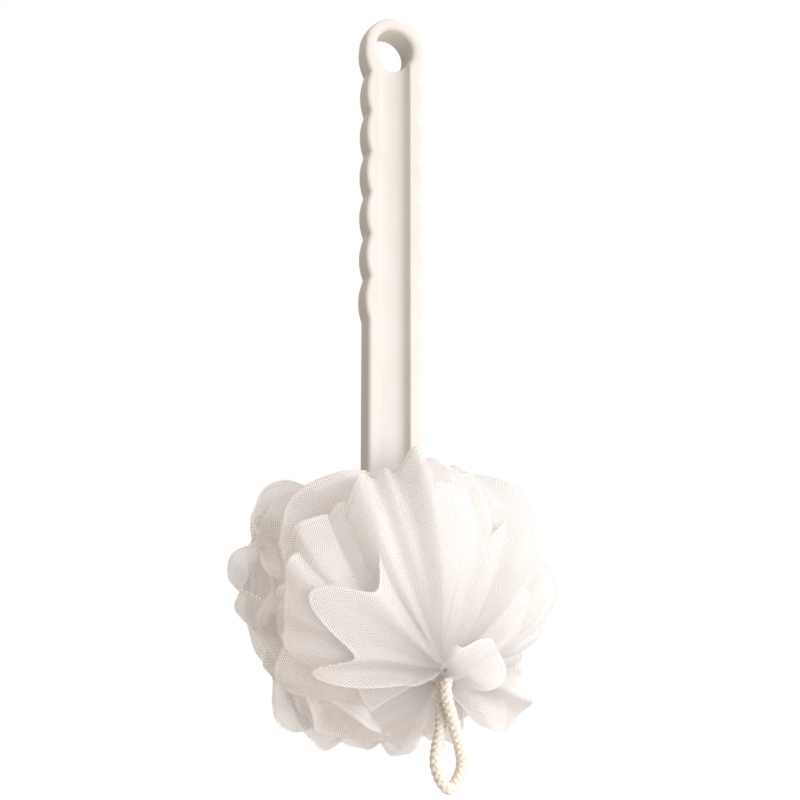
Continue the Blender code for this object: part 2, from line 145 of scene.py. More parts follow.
# The studio.
LAMP_SIZE = 0.8
LAMP_TARGET = Vector((0, 0, -0.22))
FLOOR_SIZE = 8
FLOOR_HEIGHT = -0.62
WHITE = (1, 1, 1, 1)


# ---------------------------------------------------------------- places read from the frame


def box_of(*nodes):
    corners = np.array([[list(corner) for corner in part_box(node)] for node in nodes])
    return corners[:, 0].min(axis=0), corners[:, 1].max(axis=0)


def middle_of(*nodes):
    low, high = box_of(*nodes)
    return (low + high) / 2


NETTING = ("netting_front", "netting_front_collar", "netting_rear_collar", "netting_rear")
POUF_LOW, POUF_HIGH = box_of(*NETTING)
CENTRE = (POUF_LOW + POUF_HIGH) / 2
RADII = (POUF_HIGH - POUF_LOW) / 2 - FOLD_ROOM
KNOT = middle_of("rope_knot")
TIE = middle_of("binding_cord")


# ---------------------------------------------------------------- small sums


def unit(vector):
    vector = np.asarray(vector, dtype=float)
    return vector / np.linalg.norm(vector)


def eased(value, start, end):
    """Goes smoothly from 0 at start to 1 at end."""
    share = np.clip((value - start) / (end - start), 0.0, 1.0)
    return share * share * (3 - 2 * share)


def around(count):
    return np.linspace(0.0, 2 * np.pi, count, endpoint=False)


def quads(rings, columns):
    """The faces of a tube's grid, each as four (ring, column) corners; its last column is its first again."""
    for ring in range(rings - 1):
        for column in range(columns):
            yield ((ring, column), (ring, column + 1), (ring + 1, column + 1), (ring + 1, column))


# ---------------------------------------------------------------- materials


class Nodes:
    """Short ways to add and link the nodes of a material or a world."""

    def __init__(self, owner, shader, output):
        owner.use_nodes = True
        self.owner = owner
        self.tree = owner.node_tree
        self.shader = self.tree.nodes[shader]
        self.output = self.tree.nodes[output]

    def add(self, kind, **settings):
        node = self.tree.nodes.new("ShaderNode" + kind)
        for key, value in settings.items():
            setattr(node, key, value)
        return node

    def feed(self, socket, value):
        if isinstance(value, bpy.types.NodeSocket):
            self.tree.links.new(value, socket)
        else:
            socket.default_value = value

    def shade(self, settings):
        for name, value in settings.items():
            self.feed(self.shader.inputs[name], value)

    def maths(self, operation, *values):
        node = self.add("Math", operation=operation)
        for socket, value in zip(node.inputs, values):
            self.feed(socket, value)
        return node.outputs[0]

    def noise(self, vector, scale, detail=3.0):
        node = self.add("TexNoise")
        self.feed(node.inputs["Vector"], vector)
        self.feed(node.inputs["Scale"], scale)
        self.feed(node.inputs["Detail"], detail)
        return node.outputs["Fac"]

    def ramp(self, value, low, high, start, end, ease="SMOOTHSTEP"):
        """Goes from start to end while value goes from low to high."""
        node = self.add("MapRange", interpolation_type=ease)
        for socket, setting in zip(node.inputs, (value, low, high, start, end)):
            self.feed(socket, setting)
        return node.outputs[0]

    def blend(self, share, first, second):
        node = self.add("Mix", data_type="RGBA")
        self.feed(node.inputs["Factor"], share)
        self.feed(node.inputs["A"], first)
        self.feed(node.inputs["B"], second)
        return node.outputs["Result"]

    def bump(self, height, distance):
        node = self.add("Bump")
        self.feed(node.inputs["Height"], height)
        self.feed(node.inputs["Distance"], distance)
        self.feed(node.inputs["Strength"], 1.0)
        self.feed(self.shader.inputs["Normal"], node.outputs[0])

    def mix_shaders(self, share, first, second):
        node = self.add("MixShader")
        for socket, value in zip(node.inputs, (share, first, second)):
            self.feed(socket, value)
        return node.outputs[0]

    def surface(self, shader):
        self.feed(self.output.inputs["Surface"], shader)

    def place(self):
        return self.add("NewGeometry").outputs["Position"]

    def split(self, vector):
        node = self.add("SeparateXYZ")
        self.feed(node.inputs[0], vector)
        return node.outputs

    def uv(self, name):
        u, v, _ = self.split(self.add("UVMap", uv_map=name).outputs[0])
        return u, v


def material_nodes(name):
    return Nodes(bpy.data.materials.new(name), "Principled BSDF", "Material Output")


def net_threads(nodes):
    """1 along the net's slanting threads and 0 in the gaps between them."""
    u, v = nodes.uv("net")
    slants = []
    for slant in (1.0, -1.0):
        line = nodes.maths("ADD", u, nodes.maths("MULTIPLY", v, slant))
        slants.append(nodes.maths("ABSOLUTE", nodes.maths("SINE", nodes.maths("MULTIPLY", line, math.pi))))
    nearest = nodes.maths("MINIMUM", *slants)
    return nodes.ramp(nearest, low=0.15, high=0.6, start=1.0, end=0.0)


def net_material():
    """Fine white net: threads with see-through gaps, which are denser along a sheet's rim."""
    nodes = material_nodes("netting")
    thread = net_threads(nodes)
    rim = nodes.add("Attribute", attribute_name="rim").outputs["Fac"]
    gap = nodes.ramp(rim, low=0.0, high=1.0, start=GAP_COVER, end=RIM_COVER)
    more = nodes.maths("SUBTRACT", THREAD_COVER, gap)
    cover = nodes.maths("ADD", gap, nodes.maths("MULTIPLY", thread, more))
    cloud = nodes.noise(nodes.place(), scale=60.0)
    colour = nodes.blend(cloud, (0.985, 0.972, 0.970, 1), (0.985, 0.980, 0.980, 1))
    nodes.shade({
        "Base Color": colour,
        "Roughness": nodes.ramp(thread, low=0.0, high=1.0, start=0.7, end=0.45),
        "Sheen Weight": 0.3,
        # Painted light: a faint warm glow that stands in for light that has gone many times through the white
        # net, more often than the bounces that are followed.
        "Emission Color": (1.0, 0.90, 0.81, 1),
        "Emission Strength": NET_PAINTED_GLOW,
    })
    nodes.bump(thread, distance=0.15 * MM)
    through = nodes.add("BsdfTranslucent")
    nodes.feed(through.inputs["Color"], colour)
    net = nodes.mix_shaders(THROUGH_SHARE, nodes.shader.outputs[0], through.outputs[0])
    clear = nodes.add("BsdfTransparent")
    nodes.surface(nodes.mix_shaders(cover, clear.outputs[0], net))
    return nodes.owner


def plastic_material():
    """Cream moulded plastic with a satin skin: faint flow marks, fine grain and a slightly uneven gloss."""
    nodes = material_nodes("ivory_plastic")
    place = nodes.place()
    flow = nodes.noise(place, scale=35.0)
    grain = nodes.noise(place, scale=1800.0)
    streak = nodes.ramp(flow, low=0.3, high=0.7, start=0.0, end=1.0)
    nodes.shade({
        "Base Color": nodes.blend(streak, (0.635, 0.615, 0.585, 1), (0.66, 0.645, 0.62, 1)),
        "Roughness": nodes.ramp(flow, low=0.2, high=0.8, start=0.38, end=0.50),
    })
    relief = nodes.maths("ADD", nodes.maths("MULTIPLY", flow, 0.6), nodes.maths("MULTIPLY", grain, 0.08))
    nodes.bump(relief, distance=0.3 * MM)
    return nodes.owner


def cotton_material():
    """Unbleached cotton: fibres along each strand, with soft fuzz over them."""
    nodes = material_nodes("cotton_rope")
    along, across = nodes.uv("strand")
    stretched = nodes.add("CombineXYZ")
    nodes.feed(stretched.inputs[0], nodes.maths("MULTIPLY", along, 0.35))
    nodes.feed(stretched.inputs[1], nodes.maths("MULTIPLY", across, 5.0))
    fibres = nodes.noise(stretched.outputs[0], scale=2.5, detail=4.0)
    fuzz = nodes.noise(nodes.place(), scale=2500.0)
    tone = nodes.maths("ADD", nodes.maths("MULTIPLY", fibres, 0.7), nodes.maths("MULTIPLY", fuzz, 0.3))
    light = nodes.ramp(tone, low=0.3, high=0.7, start=0.0, end=1.0)
    nodes.shade({
        "Base Color": nodes.blend(light, (0.66, 0.60, 0.52, 1), (0.90, 0.87, 0.82, 1)),
        "Roughness": 0.9,
        "Sheen Weight": 0.25,
    })
    nodes.bump(tone, distance=0.25 * MM)
    return nodes.owner


def nylon_material():
    """Thin twisted nylon cord: slanting plies with a slight gloss, and painted shade in the grooves between
    them.
    """
    nodes = material_nodes("binding_cord")
    ply_width = 0.9 * MM
    x, y, z = nodes.split(nodes.place())
    slant = nodes.maths("ADD", nodes.maths("ADD", x, z), nodes.maths("MULTIPLY", y, 1.5))
    plies = nodes.maths("SINE", nodes.maths("MULTIPLY", slant, 2 * math.pi / ply_width))
    # The darker narrow band of each stripe is painted shade in the groove between two plies.
    light = nodes.ramp(plies, low=-1.0, high=0.4, start=0.0, end=1.0)
    nodes.shade({
        "Base Color": nodes.blend(light, (0.70, 0.68, 0.64, 1), (0.90, 0.89, 0.86, 1)),
        "Roughness": 0.45,
    })
    nodes.bump(plies, distance=0.2 * MM)
    return nodes.owner


# ---------------------------------------------------------------- sheets of netting


def uneven(seed):
    """A function of angle that wavers round 1, for a rim with broad and fine lobes."""
    phases = np.random.default_rng(seed).uniform(0, 2 * np.pi, len(RIM_LOBES))

    def rim(angle):
        lobes = zip(RIM_LOBES, phases)
        return 1 + sum(size * math.sin(count * angle + phase) for (count, size), phase in lobes)

    return rim


def between(stops, angle):
    """A value by angle from (angle, value) stops in degrees, eased from each stop to the next."""
    turn = math.degrees(angle) % 360
    places = [place for place, _ in stops]
    values = [value for _, value in stops]
    after = next((k for k, place in enumerate(places) if place > turn), 0)
    before = after - 1
    span = (places[after] - places[before]) % 360 or 360
    share = eased((turn - places[before]) % 360, 0.0, span)
    return values[before] + share * (values[after] - values[before])


def dome(pole, radii, reach, flare, seed, neck_radius=NECK_RADIUS, rise=0.0):
    """Points over the pouf's rounded outside, gathered at its pole. reach is how far the sheet runs from the
    pole, as stops of (angle round the pole, degrees at the pouf's centre); angle 0 is up and 90 to the right.
    flare lifts the rim off the pouf by a share of its radius, as stops too, and rise does so at the pole."""
    axis = unit(pole)
    up = unit(np.array([0, 0, 1.0]) - axis * axis[2])
    right = np.array([1.0, 0.0, 0.0])
    angles = around(COLUMNS)
    wobble = uneven(seed)
    shares = np.linspace(0.0, 1.0, RINGS)[:, None]
    neck = neck_radius / radii.mean()
    far = np.array([math.radians(between(reach, angle)) * wobble(angle) for angle in angles])
    lift = np.array([between(flare, angle) for angle in angles])
    polar = neck + shares * (far - neck)
    turned = angles + SWIRL * np.sin(2 * angles + seed) * shares**1.5
    outward = np.cos(turned)[..., None] * up + np.sin(turned)[..., None] * right
    normals = np.cos(polar)[..., None] * axis + np.sin(polar)[..., None] * outward
    size = 1 + lift * shares**3 + rise * np.exp(-((polar / MOUTH_ANGLE) ** 2))
    return CENTRE + normals * radii * size[..., None], normals


def frill(neck, radius, lean, seed):
    """Points of a ruffle that stands out all round the tie, about the Y axis. lean bends its rim along Y."""
    angles = around(COLUMNS)
    wobble = uneven(seed)
    shares = np.linspace(0.0, 1.0, RINGS)[:, None]
    far = np.array([wobble(angle) * between(FRILL_OUTLINE, angle) for angle in angles]) * radius
    out = NECK_RADIUS + shares * (far - NECK_RADIUS)
    along = TIE[1] + neck + lean * shares**2 * np.ones_like(out)
    points = np.stack([out * np.sin(angles), along, TIE[2] + out * np.cos(angles)], axis=-1)
    normals = np.zeros_like(points)
    normals[..., 1] = 1.0
    return points, normals


def folded(points, normals, folds, height, seed):
    """Starts a sheet with broad uneven waves and fine wrinkles that grow to its rim, for cloth to deepen."""
    draw = np.random.default_rng(seed)
    angles = around(COLUMNS)
    waves = np.zeros(COLUMNS)
    for spread in WAVE_SPREADS:
        waves += draw.uniform(0.4, 1.0) * np.sin((folds + spread) * angles + draw.uniform(0, 2 * np.pi))
    for spread in WRINKLE_SPREADS:
        waves += WRINKLE_HEIGHT * np.sin((3 * folds + spread) * angles + draw.uniform(0, 2 * np.pi))
    shares = np.linspace(0.0, 1.0, RINGS)
    return points + normals * (height * shares[:, None] * waves)[..., None]


def lengths_of(points):
    """How far along its column each point lies from the neck."""
    steps = np.linalg.norm(np.diff(points, axis=0), axis=2)
    return np.vstack([np.zeros((1, COLUMNS)), np.cumsum(steps, axis=0)])


def wound_cone(points, growth):
    """The sheet's relaxed shape: a cone wound twice round itself, so that its rim is too long and has to
    fold. growth is how many times longer its rim gets than that of a flat disc."""
    wraps = 2
    neck = np.linalg.norm(points[0] - points[0].mean(axis=0), axis=1).mean()
    reach = neck + lengths_of(points)
    sine = growth / wraps
    turned = wraps * around(COLUMNS)[None, :]
    height = reach * math.sqrt(1.0 - sine**2)
    return np.stack([reach * sine * np.cos(turned), reach * sine * np.sin(turned), height], axis=-1)


def sheet_mesh(name, start, relaxed, lengths):
    """The sheet's grid, with a UV map that counts the net's cells and an attribute that is 1 at the rim."""
    cells = round(np.linalg.norm(np.diff(relaxed[-1], axis=0), axis=1).sum() / CELL)
    faces = []
    uvs = []
    for corners in quads(RINGS, COLUMNS):
        faces.append([ring * COLUMNS + column % COLUMNS for ring, column in corners])
        for ring, column in corners:
            uvs.append((column / COLUMNS * cells, lengths[ring, column % COLUMNS] / CELL))
    mesh = bpy.data.meshes.new(name)
    mesh.from_pydata(start.reshape(-1, 3).tolist(), [], faces)
    mesh.uv_layers.new(name="net").data.foreach_set("uv", np.array(uvs, dtype=np.float32).ravel())
    to_rim = lengths[-1][None, :] - lengths
    rim = mesh.attributes.new("rim", "FLOAT", "POINT")
    rim.data.foreach_set("value", np.exp(-((to_rim / RIM_WIDTH) ** 2)).astype(np.float32).ravel())
    return mesh


def new_sheet(name, points, normals, growth, folds, seed, height=FOLD_HEIGHT):
    """A sheet of netting ready to be simulated, held at its neck."""
    start = folded(points, normals, folds, height, seed)
    relaxed = wound_cone(points, growth)
    obj = bpy.data.objects.new(name, sheet_mesh(name, start, relaxed, lengths_of(points)))
    SCENE.collection.objects.link(obj)
    obj.shape_key_add(name="Basis")
    key = obj.shape_key_add(name="relaxed")
    key.data.foreach_set("co", relaxed.astype(np.float32).ravel())
    key.value = 0.0
    neck = obj.vertex_groups.new(name="neck")
    neck.add(list(range(PINNED_RINGS * COLUMNS)), 1.0, "REPLACE")
    return obj


# ---------------------------------------------------------------- cloth simulation


def add_cloth(obj, obstacles):
    cloth = obj.modifiers.new("cloth", "CLOTH")
    settings = cloth.settings
    settings.quality = 4
    settings.mass = 0.1
    settings.tension_stiffness = 20
    settings.compression_stiffness = 20
    settings.shear_stiffness = 5
    settings.bending_model = "ANGULAR"
    settings.bending_stiffness = 0.10
    settings.air_damping = 5
    settings.vertex_group_mass = "neck"
    settings.rest_shape_key = obj.data.shape_keys.key_blocks["relaxed"]
    settings.effector_weights.gravity = 0.0
    cloth.collision_settings.distance_min = CLOTH_GAP
    cloth.collision_settings.collection = obstacles
    cloth.point_cache.frame_start = 1
    cloth.point_cache.frame_end = CLOTH_FRAMES


def add_obstacle(obj, collection, centre, half):
    """Makes a unit shape into something that the sheets can't pass."""
    obj.location = centre
    obj.scale = half
    obj.modifiers.new("stop", "COLLISION")
    obj.collision.thickness_outer = CLOTH_GAP
    for other in list(obj.users_collection):
        other.objects.unlink(obj)
    collection.objects.link(obj)
    return obj


def shaft_obstacle(collection):
    """A block a little wider and deeper than the handle, from above the pouf down to the eye."""
    _, handle_high = box_of("handle")
    top = CENTRE[2] + 2 * RADII[2]
    bottom = TIE[2] + NECK_RADIUS
    half = (SHAFT_HALF_WIDTH + HANDLE_GAP, handle_high[1] + HANDLE_GAP, (top - bottom) / 2)
    bpy.ops.mesh.primitive_cube_add(size=2)
    return add_obstacle(bpy.context.object, collection, (0, 0, (top + bottom) / 2), half)


def core_obstacle(collection):
    """The gathered netting under the outer sheets."""
    bpy.ops.mesh.primitive_uv_sphere_add(segments=40, ring_count=24, radius=1)
    return add_obstacle(bpy.context.object, collection, CENTRE, RADII - CORE_DEPTH)


def freeze(obj):
    """Keeps the simulated shape as the object's mesh."""
    graph = bpy.context.evaluated_depsgraph_get()
    mesh = bpy.data.meshes.new_from_object(obj.evaluated_get(graph))
    obj.modifiers.clear()
    obj.shape_key_clear()
    obj.data = mesh


def contain(points):
    """Draws in the corners that stand too far out of the pouf."""
    half = RADII + FOLD_ROOM
    size = np.linalg.norm((points - CENTRE) / half, axis=1)
    soft = CORNER_FREE + CORNER_SOFT * np.tanh((size - CORNER_FREE) / CORNER_SOFT)
    drawn = np.where(size > CORNER_FREE, soft, size)
    return CENTRE + (points - CENTRE) * (drawn / size)[:, None]


def make_room(points):
    """Presses the netting back from the space below the knot, where the loop hangs, sways and leans back."""
    across, forward, down = (points - KNOT).T * [[1], [1], [-1]]
    reach = np.hypot(across, down)
    turn = np.degrees(np.abs(np.arctan2(across, down)))
    inside = (1 - eased(turn, *ROOM_SIDES)) * eased(reach, *ROOM_ROOT) * (1 - eased(reach, *ROOM_FAR))
    back = ROOM_DEPTH * ROPE_RADIUS + LOOP_LEAN * np.maximum(down, 0.0)
    points[:, 1] += inside * np.maximum(back - forward, 0.0)
    return points


def reshape(obj, *changes):
    """Runs an object's points through one or more changes."""
    mesh = obj.data
    points = np.empty(len(mesh.vertices) * 3, dtype=np.float32)
    mesh.vertices.foreach_get("co", points)
    points = points.reshape(-1, 3).astype(float)
    for change in changes:
        points = change(points)
    mesh.vertices.foreach_set("co", points.astype(np.float32).ravel())
    mesh.update()


def simulate(outer, inner):
    """Lets all the sheets fold at once: outer ones over the core and round the handle, inner ones round the
    handle only."""
    stops = []
    for name, sheets, makers in (
        ("outer_stops", outer, (core_obstacle, shaft_obstacle)),
        ("inner_stops", inner, (shaft_obstacle,)),
    ):
        collection = bpy.data.collections.new(name)
        SCENE.collection.children.link(collection)
        stops += [make(collection) for make in makers]
        for sheet in sheets:
            add_cloth(sheet, collection)
    for number in range(1, CLOTH_FRAMES + 1):
        SCENE.frame_set(number)
    for sheet in (*outer, *inner):
        freeze(sheet)
        reshape(sheet, contain, make_room)
    for stop in stops:
        bpy.data.objects.remove(stop)
    SCENE.frame_set(1)


# ---------------------------------------------------------------- the pouf


def mouth_sheet(name, lifted, reach, flare, growth, folds, seed, height=FOLD_HEIGHT):
    """A sheet gathered in the pouf's mouth. lifted is how many layers it starts above the pouf's outside."""
    radii = RADII + lifted * LAYER_STEP
    points, normals = dome(KNOT + MOUTH_OFFSET - CENTRE, radii, reach, flare, seed, MOUTH_NECK, MOUTH_RISE)
    return new_sheet(name, points, normals, growth, folds, seed, height)


def under_sheet(name, pole, layer, reach, flare, growth, folds, seed):
    """A sheet gathered at the pole, as many layers under the pouf's outside."""
    points, normals = dome(pole, RADII - layer * LAYER_STEP, reach, flare, seed)
    return new_sheet(name, points, normals, growth, folds, seed)


def front_fan():
    """The largest sheet, with long petals above and to the right and very little below the mouth."""
    reach = [
        (0, 87), (12, 85), (23, 108), (36, 110), (46, 88), (62, 80), (75, 108), (86, 60), (98, 46),
        (110, 52), (121, 88), (131, 36), (148, 3), (214, 3), (232, 28), (248, 34), (270, 58), (300, 70),
        (316, 74), (337, 86),
    ]
    flare = [
        (0, 0.0), (28, 0.17), (46, -0.05), (60, 0.0), (75, 0.42), (88, -0.1), (108, 0.0), (121, 0.36),
        (134, 0.0), (165, 0.11), (195, 0.11), (215, 0.0), (270, 0.03), (337, 0.0),
    ]
    return mouth_sheet("front_fan", 0, reach, flare, growth=1.6, folds=8, seed=3, height=6.0 * MM)


def front_petal():
    """A smaller sheet over the fan, above and to the left of the mouth."""
    reach = [
        (0, 66), (18, 50), (40, 70), (62, 46), (84, 30), (120, 6), (150, 2), (228, 2),
        (246, 14), (262, 44), (276, 30), (294, 54), (312, 36), (338, 66),
    ]
    flare = [
        (0, 0.05), (18, 0.0), (40, 0.06), (62, 0.0), (120, -0.1), (204, -0.1),
        (258, 0.08), (276, 0.0), (294, 0.08),
    ]
    return mouth_sheet("front_petal", 0.5, reach, flare, growth=1.35, folds=5, seed=71)


def front_flap():
    """A short rounded flap to the right of the mouth."""
    reach = [(0, 4), (36, 9), (64, 21), (90, 25), (114, 21), (136, 11), (150, 2), (214, 2)]
    flare = [(0, -0.1), (60, 0.0), (105, 0.05), (150, -0.1)]
    return mouth_sheet("front_flap", 1, reach, flare, growth=1.02, folds=2, seed=61, height=1.0 * MM)


def front_sheets():
    pole = KNOT - CENTRE
    level = [(0, 0.0)]
    under_reach = [
        (0, 90), (60, 84), (90, 62), (125, 60), (150, 40), (168, 52), (200, 52), (235, 66), (270, 66),
        (300, 78),
    ]
    deep_reach = [(0, 84), (60, 80), (90, 60), (120, 60), (160, 50), (190, 60), (240, 70), (300, 80)]
    return [
        front_fan(),
        front_petal(),
        front_flap(),
        under_sheet("front_under", pole, 1, under_reach, level, growth=1.7, folds=9, seed=11),
        under_sheet("front_deep", pole, 2, deep_reach, level, growth=1.5, folds=9, seed=17),
    ]


def rear_sheets():
    pole = np.array([0.0, 1.0, -0.15])
    reach = [
        (0, 72), (60, 72), (90, 58), (180, 62), (202, 60), (213, 72), (228, 56), (270, 64), (308, 76),
        (330, 70),
    ]
    flare = [
        (0, 0.0), (90, -0.05), (130, 0.0), (200, 0.0), (213, 0.16), (230, -0.06), (266, -0.06),
        (308, 0.20), (332, 0.0),
    ]
    return [
        under_sheet("rear_fan", pole, 0, reach, flare, growth=1.7, folds=8, seed=23),
        under_sheet("rear_under", pole, 1, reach, flare, growth=1.6, folds=9, seed=31),
    ]


def frill_sheet(name, neck, radius, lean, growth, folds, seed):
    """A ruffle of the collar beside the handle; its first three sizes are in millimetres."""
    points, normals = frill(neck * MM, radius * MM, lean * MM, seed)
    return new_sheet(name, points, normals, growth, folds, seed)


def front_collar_sheets():
    return [
        frill_sheet("front_collar_0", neck=-16, radius=62, lean=-12, growth=1.6, folds=8, seed=41),
        frill_sheet("front_collar_1", neck=-10, radius=64, lean=4, growth=1.7, folds=9, seed=43),
    ]


def rear_collar_sheets():
    return [
        frill_sheet("rear_collar_0", neck=11, radius=64, lean=-2, growth=1.7, folds=9, seed=47),
        frill_sheet("rear_collar_1", neck=15, radius=62, lean=10, growth=1.6, folds=8, seed=53),
    ]


def join(objs, name):
    for obj in bpy.context.selected_objects:
        obj.select_set(False)
    for obj in objs:
        obj.select_set(True)
    bpy.context.view_layer.objects.active = objs[0]
    bpy.ops.object.join()
    objs[0].name = name
    objs[0].data.name = name
    return objs[0]


def finish_net(obj, material):
    """Turns a bunch of sheets into thin walls of net, smoothly curved."""
    obj.data.materials.clear()
    obj.data.materials.append(material)
    obj.data.shade_smooth()
    smooth = obj.modifiers.new("smooth", "SUBSURF")
    smooth.levels = 1
    smooth.render_levels = 1
    wall = obj.modifiers.new("wall", "SOLIDIFY")
    wall.thickness = NET_THICKNESS


def ride_with_mouth(bunch):
    """Bakes the bunch's placement into its points; the span beyond the knot is worked out, but the bunch is
    not attached to the pouf or the knot.
    """
    axis = unit(KNOT - CENTRE)
    reach = np.linalg.norm(KNOT - CENTRE)
    start, end = (CENTRE + axis * (reach + beyond) for beyond in MOUTH_BLEND)
    tuple(start)
    tuple(end)
    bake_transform(bunch)


def ride_by_handle(bunch):
    """Bakes the bunch's placement into its points; it is not attached to the handle or the pouf."""
    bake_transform(bunch)


def build_netting():
    """The four bunches of netting, each replacing its CAD solid."""
    bunches = {
        "ruffle_front": front_sheets(),
        "ruffle_front_collar": front_collar_sheets(),
        "ruffle_rear_collar": rear_collar_sheets(),
        "ruffle_rear": rear_sheets(),
    }
    outer = bunches["ruffle_front"] + bunches["ruffle_rear"]
    inner = bunches["ruffle_front_collar"] + bunches["ruffle_rear_collar"]
    simulate(outer, inner)
    material = net_material()
    for (name, sheets), node in zip(bunches.items(), NETTING):
        bunch = join(sheets, name)
        finish_net(bunch, material)
        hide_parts(node)
        if name == "ruffle_front":
            ride_with_mouth(bunch)
        elif name == "ruffle_front_collar":
            ride_by_handle(bunch)
        else:
            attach(bunch, "pouf")


# ---------------------------------------------------------------- rope


def spline_point(a, b, c, d, t):
    """The point at share t from b to c of a Catmull-Rom line."""
    bend = (2 * a - 5 * b + 4 * c - d) * t**2
    twist = (3 * b - a - 3 * c + d) * t**3
    return 0.5 * (2 * b + (c - a) * t + bend + twist)


def smooth_line(points):
    """A smooth line through the points at even steps, and how far along it each of its points lies."""
    points = np.array(points, dtype=float)
    ends = np.vstack([2 * points[0] - points[1], points, 2 * points[-1] - points[-2]])
    line = []
    for four in zip(ends, ends[1:], ends[2:], ends[3:]):
        line += [spline_point(*four, t) for t in np.linspace(0, 1, SPLINE_STEPS, endpoint=False)]
    line = np.array([*line, points[-1]])
    along = np.concatenate([[0.0], np.cumsum(np.linalg.norm(np.diff(line, axis=0), axis=1))])
    places = np.linspace(0, along[-1], round(along[-1] / BRAID_STEP))
    return np.stack([np.interp(places, along, line[:, k]) for k in range(3)], axis=1), places


def each_unit(vectors):
    return vectors / np.linalg.norm(vectors, axis=1)[:, None]


def sides_along(line):
    """Two directions across the line at each point, turning as little as possible."""
    forward = each_unit(np.gradient(line, axis=0))
    # Any direction will do here that no rope starts along.
    side = unit(np.cross(forward[0], [0.3, 0.9, 0.3]))
    sides = []
    for direction in forward:
        side = unit(side - direction * np.dot(side, direction))
        sides.append(side)
    sides = np.array(sides)
    return sides, np.cross(forward, sides)


def strand_mesh(centre, out, tangent, wide, thick, places, first):
    """One strand's skin: an oval swept along its line and closed at both ends, numbered from first on."""
    angles = around(STRAND_SIDES)
    ring = out[:, None, :] * (np.sin(angles) * thick)[None, :, None]
    ring = ring + tangent[:, None, :] * (np.cos(angles) * wide)[None, :, None]
    vertices = (centre[:, None, :] + ring).reshape(-1, 3)
    faces = []
    uvs = []
    for corners in quads(len(centre), STRAND_SIDES):
        faces.append([first + place * STRAND_SIDES + turn % STRAND_SIDES for place, turn in corners])
        uvs += [(places[place] / MM, turn / STRAND_SIDES) for place, turn in corners]
    last = first + (len(centre) - 1) * STRAND_SIDES
    faces.append([first + turn for turn in reversed(range(STRAND_SIDES))])
    faces.append([last + turn for turn in range(STRAND_SIDES)])
    uvs += [(0.0, turn / STRAND_SIDES) for turn in range(2 * STRAND_SIDES)]
    return vertices, faces, uvs


def braided_strands(line, places):
    """The line, outward direction and sideways direction of each strand of a braid."""
    side, up = sides_along(line)
    turn = 2 * np.pi * places / BRAID_PITCH
    middle = ROPE_RADIUS - STRAND_THICK - STRAND_SWING
    for way in (1, -1):
        for number in range(STRANDS_EACH_WAY):
            angle = way * turn + 2 * np.pi * number / STRANDS_EACH_WAY
            out = np.cos(angle)[:, None] * side + np.sin(angle)[:, None] * up
            reach = middle + way * STRAND_SWING * np.cos(STRANDS_EACH_WAY * turn)
            centre = line + out * reach[:, None]
            along = each_unit(np.gradient(centre, axis=0))
            tangent = each_unit(np.cross(along, out))
            yield centre, np.cross(tangent, along), tangent, STRAND_WIDE, STRAND_THICK
    core = middle * CORE_FILL
    yield line, side, up, core, core


def braid(name, points, material):
    """A braided rope along a line: strands that wind both ways, over and under each other, on a core."""
    line, places = smooth_line(points)
    vertices = []
    faces = []
    uvs = []
    for strand in braided_strands(line, places):
        part = strand_mesh(*strand, places, sum(map(len, vertices)))
        vertices.append(part[0])
        faces += part[1]
        uvs += part[2]
    mesh = bpy.data.meshes.new(name)
    mesh.from_pydata(np.vstack(vertices).tolist(), [], faces)
    mesh.uv_layers.new(name="strand").data.foreach_set("uv", np.array(uvs, dtype=np.float32).ravel())
    mesh.materials.append(material)
    mesh.shade_smooth()
    obj = bpy.data.objects.new(name, mesh)
    SCENE.collection.objects.link(obj)
    return obj


def loop_path():
    """Down from the knot, round the loop's end and up; the strands cross under the knot, then open out."""
    low, high = box_of("rope_loop")
    wide = (high[0] - low[0]) / 2 - ROPE_RADIUS
    drop = KNOT[2] - low[2] - ROPE_RADIUS
    apart = ROPE_RADIUS * 1.05
    path = [
        (0.0, -apart, -0.04 * drop),
        (-1.8 * MM, -apart, -0.20 * drop),
        (1.6 * MM, -apart, -0.46 * drop),
        (wide + 1.0 * MM, 0, -0.80 * drop),
        (1.0 * MM, 0, -drop),
        (-wide + 1.0 * MM, 0, -0.80 * drop),
        (-1.2 * MM, apart, -0.46 * drop),
        (-1.4 * MM, apart, -0.20 * drop),
        (0.0, apart, -0.04 * drop),
    ]
    return [KNOT + np.array(point) for point in path]


def knot_path():
    """A trefoil drawn tight round the knot's middle, open where its ends meet."""
    tight = 1.25 * MM
    opening = 0.2
    turns = np.linspace(opening, 2 * np.pi - opening, 26)
    trefoil = np.stack([
        tight * (np.sin(turns) + 1.4 * np.sin(2 * turns)),
        tight * -1.3 * np.sin(3 * turns),
        tight * (np.cos(turns) - 1.4 * np.cos(2 * turns)),
    ], axis=1)
    return KNOT + trefoil


def stem_path():
    """From the stopper behind the eye, through the eye, to just behind the knot."""
    _, stem_high = box_of("rope_stem")
    rear = np.array([0.0, stem_high[1] - 6.4 * MM, TIE[2]])
    return [rear, TIE, TIE + [0, -11.4 * MM, 0], KNOT + [0, 7 * MM, 4.4 * MM]]


def build_rope():
    """One cotton rope in three pieces: the loop, the knot in the pouf's mouth and the stem at the eye."""
    material = cotton_material()
    for name, path, node, body in (
        ("braided_loop", loop_path(), "rope_loop", "loop"),
        ("braided_knot", knot_path(), "rope_knot", "knot"),
        ("braided_stem", stem_path(), "rope_stem", "pouf"),
    ):
        piece = braid(name, path, material)
        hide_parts(node)
        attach(piece, body)


# ---------------------------------------------------------------- CAD pieces that stay


def paint(node, material):
    for slot in node.material_slots:
        slot.material = material


